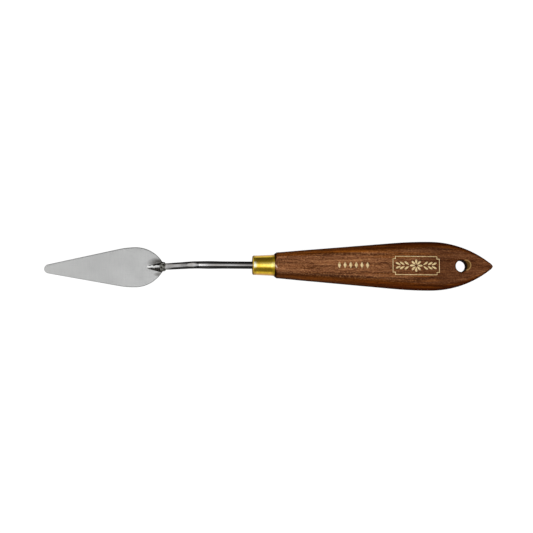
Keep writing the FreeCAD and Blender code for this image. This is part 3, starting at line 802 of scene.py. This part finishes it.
def make_shank(material):
    """One skin from the foot's toe to the tang's end: the foot's section turns into the rod's."""
    rings = [foot_ring(x) for x in spaced(FOOT_TOE, FOOT_HEEL, FOOT_STATIONS)]
    for centre, direction in shank_path()[1:]:
        rod = rod_ring(centre, direction)
        if centre.x < FOOT_MERGE_END:
            share = smooth(FOOT_HEEL, FOOT_MERGE_END, centre.x)
            rod = [first.lerp(second, share) for first, second in zip(foot_ring(centre.x), rod)]
        rings.append(rod)
    shank = loft("cranked_shank", rings, material)
    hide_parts("shank")
    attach(shank, "grip")


# ---------------------------------------------------------------- weld

WELD_TAPER = 0.26
WELD_BELOW_ROD = 0.35
WELD_DETAIL = 6
WELD_SIZE = 0.93
LUMP_SIZE = 0.13
LUMP_RATE = 2.1
LUMP_SHIFT = Vector((3.1, 0.4, 7.7))
LUMP_FRACTAL = (0.8, 2.1, 3)
BEAD_SIZE = 0.07
BEAD_RATES = (1.8, 5.5)
BEAD_PHASE = 0.6
WELD_SQUARENESS = 0.3
WELD_WIDTH_SHARE = 0.96


def make_weld(material):
    """Lumpy bead round the neck, flat where it would reach below the blade."""
    low, high = box_mm("neck_weld")
    half = Vector(((high.x - low.x) / 2, (high.y - low.y) / 2,
                   high.z - CRANK_START_HEIGHT + WELD_BELOW_ROD))
    centre = Vector(((low.x + high.x) / 2, 0, high.z - half.z))
    edit = bmesh.new()
    bmesh.ops.create_icosphere(edit, subdivisions=WELD_DETAIL, radius=1.0)
    for vertex in edit.verts:
        way = vertex.co.normalized()
        lumps = noise.fractal(way * LUMP_RATE + LUMP_SHIFT, *LUMP_FRACTAL)
        beads = abs(math.sin(BEAD_RATES[1] * way.y + BEAD_RATES[0] * way.x + BEAD_PHASE))
        reach = min(1.0, WELD_SIZE + LUMP_SIZE * lumps + BEAD_SIZE * (beads - 0.5))
        full = math.copysign(abs(way.x) ** WELD_SQUARENESS, way.x)
        slim = WELD_WIDTH_SHARE - WELD_TAPER * smooth(0.1, 1.0, full)
        place = centre + Vector((full * half.x, way.y * half.y * slim, way.z * half.z)) * reach
        place.z = max(place.z, TABLE_GAP)
        vertex.co = place
    points = [vertex.co.copy() for vertex in edit.verts]
    faces = [[vertex.index for vertex in face.verts] for face in edit.faces]
    edit.free()
    weld = make_object("weld_bead", points, faces, material)
    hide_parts("neck_weld")
    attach(weld, "grip")


# ---------------------------------------------------------------- CAD nodes that stay

def dress_node(name, material):
    """Gives a CAD node its procedural material."""
    node = frame["nodes"][name]
    node.data.materials.clear()
    node.data.materials.append(material)


# ---------------------------------------------------------------- foil ornament on the handle

FOIL_HEIGHT = 0.03
FOIL_DEPTH = 0.06
EMBLEM_CENTRE = 65.9
EMBLEM_HALF_LENGTH = 10.6
EMBLEM_HALF_WIDTH = 4.2
EMBLEM_LINE = 0.28
EMBLEM_NOTCH = 1.1
BORDER_SPACING = 0.6
PETAL_COUNT = 8
PETAL_START = 0.55
PETAL_LENGTH = 2.3
PETAL_HALF_WIDTH = 0.55
PETAL_POINTS = 28
LEAVES = ((3.6, 0.62), (5.6, 0.55), (7.4, 0.45))
LEAF_ROOT_BACK = 0.4
LEAF_ROOT_ASIDE = 0.25
LEAF_LENGTH = 2.5
LEAF_HALF_WIDTH = 0.5
LOZENGE_HALF_SIZE = (0.75, 1.48)
LOZENGE_SPACING = 0.5
ABOVE_HANDLE = 50.0
ROW_CENTRE = 37.8
ROW_PITCH = 2.5
ROW_COUNT = 6


def handle_surface():
    """Function that gives the height of the handle's upper face in millimetres."""
    node = frame["nodes"]["handle"]
    mesh = node.data
    tree = BVHTree.FromPolygons([vertex.co for vertex in mesh.vertices],
                                [tuple(face.vertices) for face in mesh.polygons])

    def height(x, y):
        hit = tree.ray_cast(Vector((x, y, ABOVE_HANDLE)) * MM, Vector((0, 0, -1)))[0]
        return hit.z / MM
    return height


def strip_shape(outer, inner, points, faces, height):
    """Closed thin solid between two outlines with equal numbers of points, laid on the handle."""
    count = len(outer)
    base = len(points)
    for outline in (outer, inner):
        for rise in (FOIL_HEIGHT, -FOIL_DEPTH):
            points.extend((x, y, height(x, y) + rise) for x, y in outline)
    outer_top, outer_bottom, inner_top, inner_bottom = (base + count * layer for layer in range(4))
    for step in range(count):
        after = (step + 1) % count
        for first, second in ((outer_top, inner_top), (inner_top, inner_bottom),
                              (inner_bottom, outer_bottom), (outer_bottom, outer_top)):
            faces.append([first + step, first + after, second + after, second + step])


def closed_shape(outline, centre, points, faces, height):
    """Filled shape: a strip between the outline and its centre."""
    strip_shape(outline, [centre] * len(outline), points, faces, height)


def divided(outline):
    """The same closed outline with its long sides divided."""
    finer = []
    for (x0, y0), (x1, y1) in zip(outline, outline[1:] + outline[:1]):
        steps = max(1, math.ceil(math.hypot(x1 - x0, y1 - y0) / LOZENGE_SPACING))
        finer += [(mix(x0, x1, step / steps), mix(y0, y1, step / steps)) for step in range(steps)]
    return finer


def notched_border(inset):
    """Rectangle whose corners are stepped inwards."""
    half_x = EMBLEM_HALF_LENGTH - inset
    half_y = EMBLEM_HALF_WIDTH - inset
    notch_x, notch_y = half_x - EMBLEM_NOTCH, half_y - EMBLEM_NOTCH
    corner = [(half_x, notch_y), (notch_x, notch_y), (notch_x, half_y)]
    outline = list(corner)
    outline += [(-x, y) for x, y in reversed(corner)]
    outline += [(-x, -y) for x, y in corner]
    outline += [(x, -y) for x, y in reversed(corner)]
    return [(EMBLEM_CENTRE + x, y) for x, y in outline]


def petal(centre, angle, start, length, half_width):
    """Pointed oval that leaves the centre at an angle."""
    outline = []
    for turn in spaced(0, 2 * HALF_TURN, PETAL_POINTS)[:-1]:
        along = start + length * (1 - math.cos(turn)) / 2
        beside = half_width * math.sin(turn) * abs(math.sin(turn / 2)) ** 0.5
        outline.append((centre[0] + along * math.cos(angle) - beside * math.sin(angle),
                        centre[1] + along * math.sin(angle) + beside * math.cos(angle)))
    middle = start + length / 2
    return outline, (centre[0] + middle * math.cos(angle), centre[1] + middle * math.sin(angle))


def lozenge(centre, half_length, half_width):
    x, y = centre
    corners = [(x + half_length, y), (x, y + half_width), (x - half_length, y), (x, y - half_width)]
    return divided(corners), centre


def matched(outer, inner):
    """Divides both outlines so that their points pair up."""
    first, second = [], []
    for index in range(len(outer)):
        start, end = outer[index], outer[(index + 1) % len(outer)]
        start_in, end_in = inner[index], inner[(index + 1) % len(inner)]
        steps = max(1, math.ceil(math.hypot(end[0] - start[0], end[1] - start[1]) / BORDER_SPACING))
        for step in range(steps):
            share = step / steps
            first.append((mix(start[0], end[0], share), mix(start[1], end[1], share)))
            second.append((mix(start_in[0], end_in[0], share), mix(start_in[1], end_in[1], share)))
    return first, second


def make_emblem(material):
    """Plain bordered ornament: an eight-petalled rosette between two pairs of leaf sprays."""
    height = handle_surface()
    points, faces = [], []
    outer = notched_border(0)
    inner = notched_border(EMBLEM_LINE)
    strip_shape(*matched(outer, inner), points, faces, height)
    for step in range(PETAL_COUNT):
        heading = 2 * HALF_TURN * step / PETAL_COUNT
        shape, middle = petal((EMBLEM_CENTRE, 0), heading, PETAL_START, PETAL_LENGTH, PETAL_HALF_WIDTH)
        closed_shape(shape, middle, points, faces, height)
    for side in (-1, 1):
        for offset, lean in LEAVES:
            for way in (-1, 1):
                heading = way * lean if side > 0 else HALF_TURN - way * lean
                root = (EMBLEM_CENTRE + side * (offset - LEAF_ROOT_BACK), LEAF_ROOT_ASIDE * way)
                shape, middle = petal(root, heading, 0, LEAF_LENGTH, LEAF_HALF_WIDTH)
                closed_shape(shape, middle, points, faces, height)
    emblem = make_object("foil_emblem", points, faces, material)
    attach(emblem, "grip")


def make_lozenge_row(material):
    """Row of small lozenges between the ferrule and the emblem."""
    height = handle_surface()
    points, faces = [], []
    for index in range(ROW_COUNT):
        x = ROW_CENTRE + (index - (ROW_COUNT - 1) / 2) * ROW_PITCH
        shape, middle = lozenge((x, 0), *LOZENGE_HALF_SIZE)
        closed_shape(shape, middle, points, faces, height)
    row = make_object("foil_lozenges", points, faces, material)
    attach(row, "grip")


# ---------------------------------------------------------------- studio

CAMERA_LENS = 69.08
CAMERA_DISTANCE = 450.0
CAMERA_TILT = math.radians(4.2)
CAMERA_ROLL = math.radians(0.03)
LOOK_AT = Vector((-0.575, -0.75, 12.0))
KEY_HEIGHT = 700.0
KEY_ASIDE = -150.0
KEY_SIZE = (900.0, 700.0)
KEY_POWER = 4.7
FLOOR_HALF_SIZE = 2000.0
FLOOR_CLEARANCE = 1.5
FLOOR_TONES = [(0.3, grey(0.07)), (0.7, grey(0.08))]
FLOOR_GLOW = 0.97


def make_camera():
    """Camera straight above the knife but for a small tilt, as in the photograph."""
    data = bpy.data.cameras.new("camera")
    data.lens = CAMERA_LENS
    camera = bpy.data.objects.new("camera", data)
    backward = Vector((0, -math.sin(CAMERA_TILT), math.cos(CAMERA_TILT)))
    camera.location = (LOOK_AT + backward * CAMERA_DISTANCE) * MM
    camera.rotation_euler = (CAMERA_TILT, 0, CAMERA_ROLL)
    bpy.context.scene.collection.objects.link(camera)
    bpy.context.scene.camera = camera


def floor_height():
    """Just below the lowest point that the blade's tip can reach, so no pose passes through the floor."""
    joint = frame["joints"][0]
    reach = joint["pos_m"][0] / MM - BLADE_LOW.x
    limit = math.radians(abs(joint["range_deg"][0]))
    return -reach * math.sin(limit) - FLOOR_CLEARANCE


def make_floor():
    """Plain white floor that glows evenly, so that it shows no shadow, and lights nothing."""
    maker = Maker("pale_floor")
    speckle = maker.noise(maker.place(stretch=(0.05, 0.05, 0.05)), detail=2.0)
    maker.shade(Base_Color=maker.ramp(speckle, FLOOR_TONES), Roughness=0.9, Specular_IOR_Level=0.0,
                Emission_Color=grey(1.0), Emission_Strength=FLOOR_GLOW)
    half = FLOOR_HALF_SIZE
    z = floor_height()
    corners = [(-half, -half, z), (half, -half, z), (half, half, z), (-half, half, z)]
    floor = make_object("floor", corners, [[0, 1, 2, 3]], maker.material)
    floor.visible_glossy = False
    floor.visible_diffuse = False


def make_key_light():
    data = bpy.data.lights.new("overhead_softbox", "AREA")
    data.shape = "RECTANGLE"
    data.size = KEY_SIZE[0] * MM
    data.size_y = KEY_SIZE[1] * MM
    data.energy = KEY_POWER
    light = bpy.data.objects.new("overhead_softbox", data)
    light.location = Vector((0, KEY_ASIDE, KEY_HEIGHT)) * MM
    light.visible_glossy = False
    bpy.context.scene.collection.objects.link(light)


# Brightness of the studio by angle in degrees. Round the knife's length, from straight up, + towards +Y.
SIDE_TONES = [(-180, 0.40), (-112, 0.44), (-92, 0.42), (-84, 0.3), (-78, 0.13), (-60, 0.11), (-48, 0.12),
              (-38, 0.17), (-29, 0.36), (-20, 0.90), (-8, 1.15), (1, 1.03), (8, 1.0), (14, 0.55), (28, 0.24),
              (44, 0.11), (62, 0.07), (95, 0.05), (101, 0.42), (112, 0.44), (180, 0.40)]
# Along the knife, + towards the butt: what the overhead is multiplied by, and the tone beyond both ends.
STRIP_TONES = [(-90, 0.9), (-5, 0.9), (-3.8, 2.3), (2.0, 2.3), (2.8, 0.9), (90, 0.85)]
END_TONES = [(-90, 0.85), (-42, 0.85), (-36, 1.0), (-18, 1.0), (10, 0.85), (30, 0.6), (60, 0.5), (90, 0.5)]
STRIP_PEAK = 3.0
ENDS_BEGIN = (0.22, 0.50)
ENDS_ABOVE_TABLE = (0.02, 0.16)


def tone_stops(tones, full_angle, peak=1.0):
    """Ramp stops from (angle, brightness) pairs, with brightness as a share of a peak."""
    return [(0.5 + angle / full_angle, grey(tone / peak)) for angle, tone in tones]


def make_world():
    """Soft tent: bright overhead and below, dark flags along both sides of the knife, pale backdrop."""
    world = bpy.data.worlds.new("studio")
    world.use_nodes = True
    bpy.context.scene.world = world
    tent = Nodes(world.node_tree)
    along, aside, upward = tent.split(tent.node("ShaderNodeTexCoord").outputs["Generated"])

    around = tent.calculate("ARCTAN2", aside, upward)
    turns = tent.add(tent.calculate("DIVIDE", around, 2 * HALF_TURN), 0.5)
    sides = tent.ramp(turns, tone_stops(SIDE_TONES, 360))
    tilt = tent.calculate("ARCSINE", along)
    tilts = tent.add(tent.calculate("DIVIDE", tilt, HALF_TURN), 0.5)
    ends = tent.ramp(tilts, tone_stops(END_TONES, 180))
    strip = tent.ramp(tilts, tone_stops(STRIP_TONES, 180, STRIP_PEAK))
    overhead = tent.node("ShaderNodeVectorMath", {"operation": "MULTIPLY"})
    tent.put(overhead.inputs[0], sides)
    tent.put(overhead.inputs[1], strip)
    brightened = tent.node("ShaderNodeVectorMath", {"operation": "SCALE"}, Scale=STRIP_PEAK)
    tent.put(brightened.inputs[0], overhead.outputs["Vector"])
    end_share = tent.times(tent.range(tent.absolute(along), *ENDS_BEGIN),
                           tent.range(upward, *ENDS_ABOVE_TABLE))
    reflected = tent.blend(brightened.outputs["Vector"], ends, end_share)

    seen_directly = tent.node("ShaderNodeLightPath").outputs["Is Camera Ray"]
    background = world.node_tree.nodes["Background"]
    tent.put(background.inputs["Color"], tent.blend(reflected, grey(1.0), seen_directly))
    tent.put(background.inputs["Strength"], 1.0)


# ---------------------------------------------------------------- the scene


bpy.context.scene.view_settings.view_transform = "Standard"
make_camera()
make_floor()
make_key_light()
make_world()
make_blade(make_blade_steel())
make_shank(make_rod_steel())
make_weld(make_weld_metal())
dress_node("ferrule", make_brass())
dress_node("handle", make_wood())
foil = make_foil()
make_emblem(foil)
make_lozenge_row(foil)
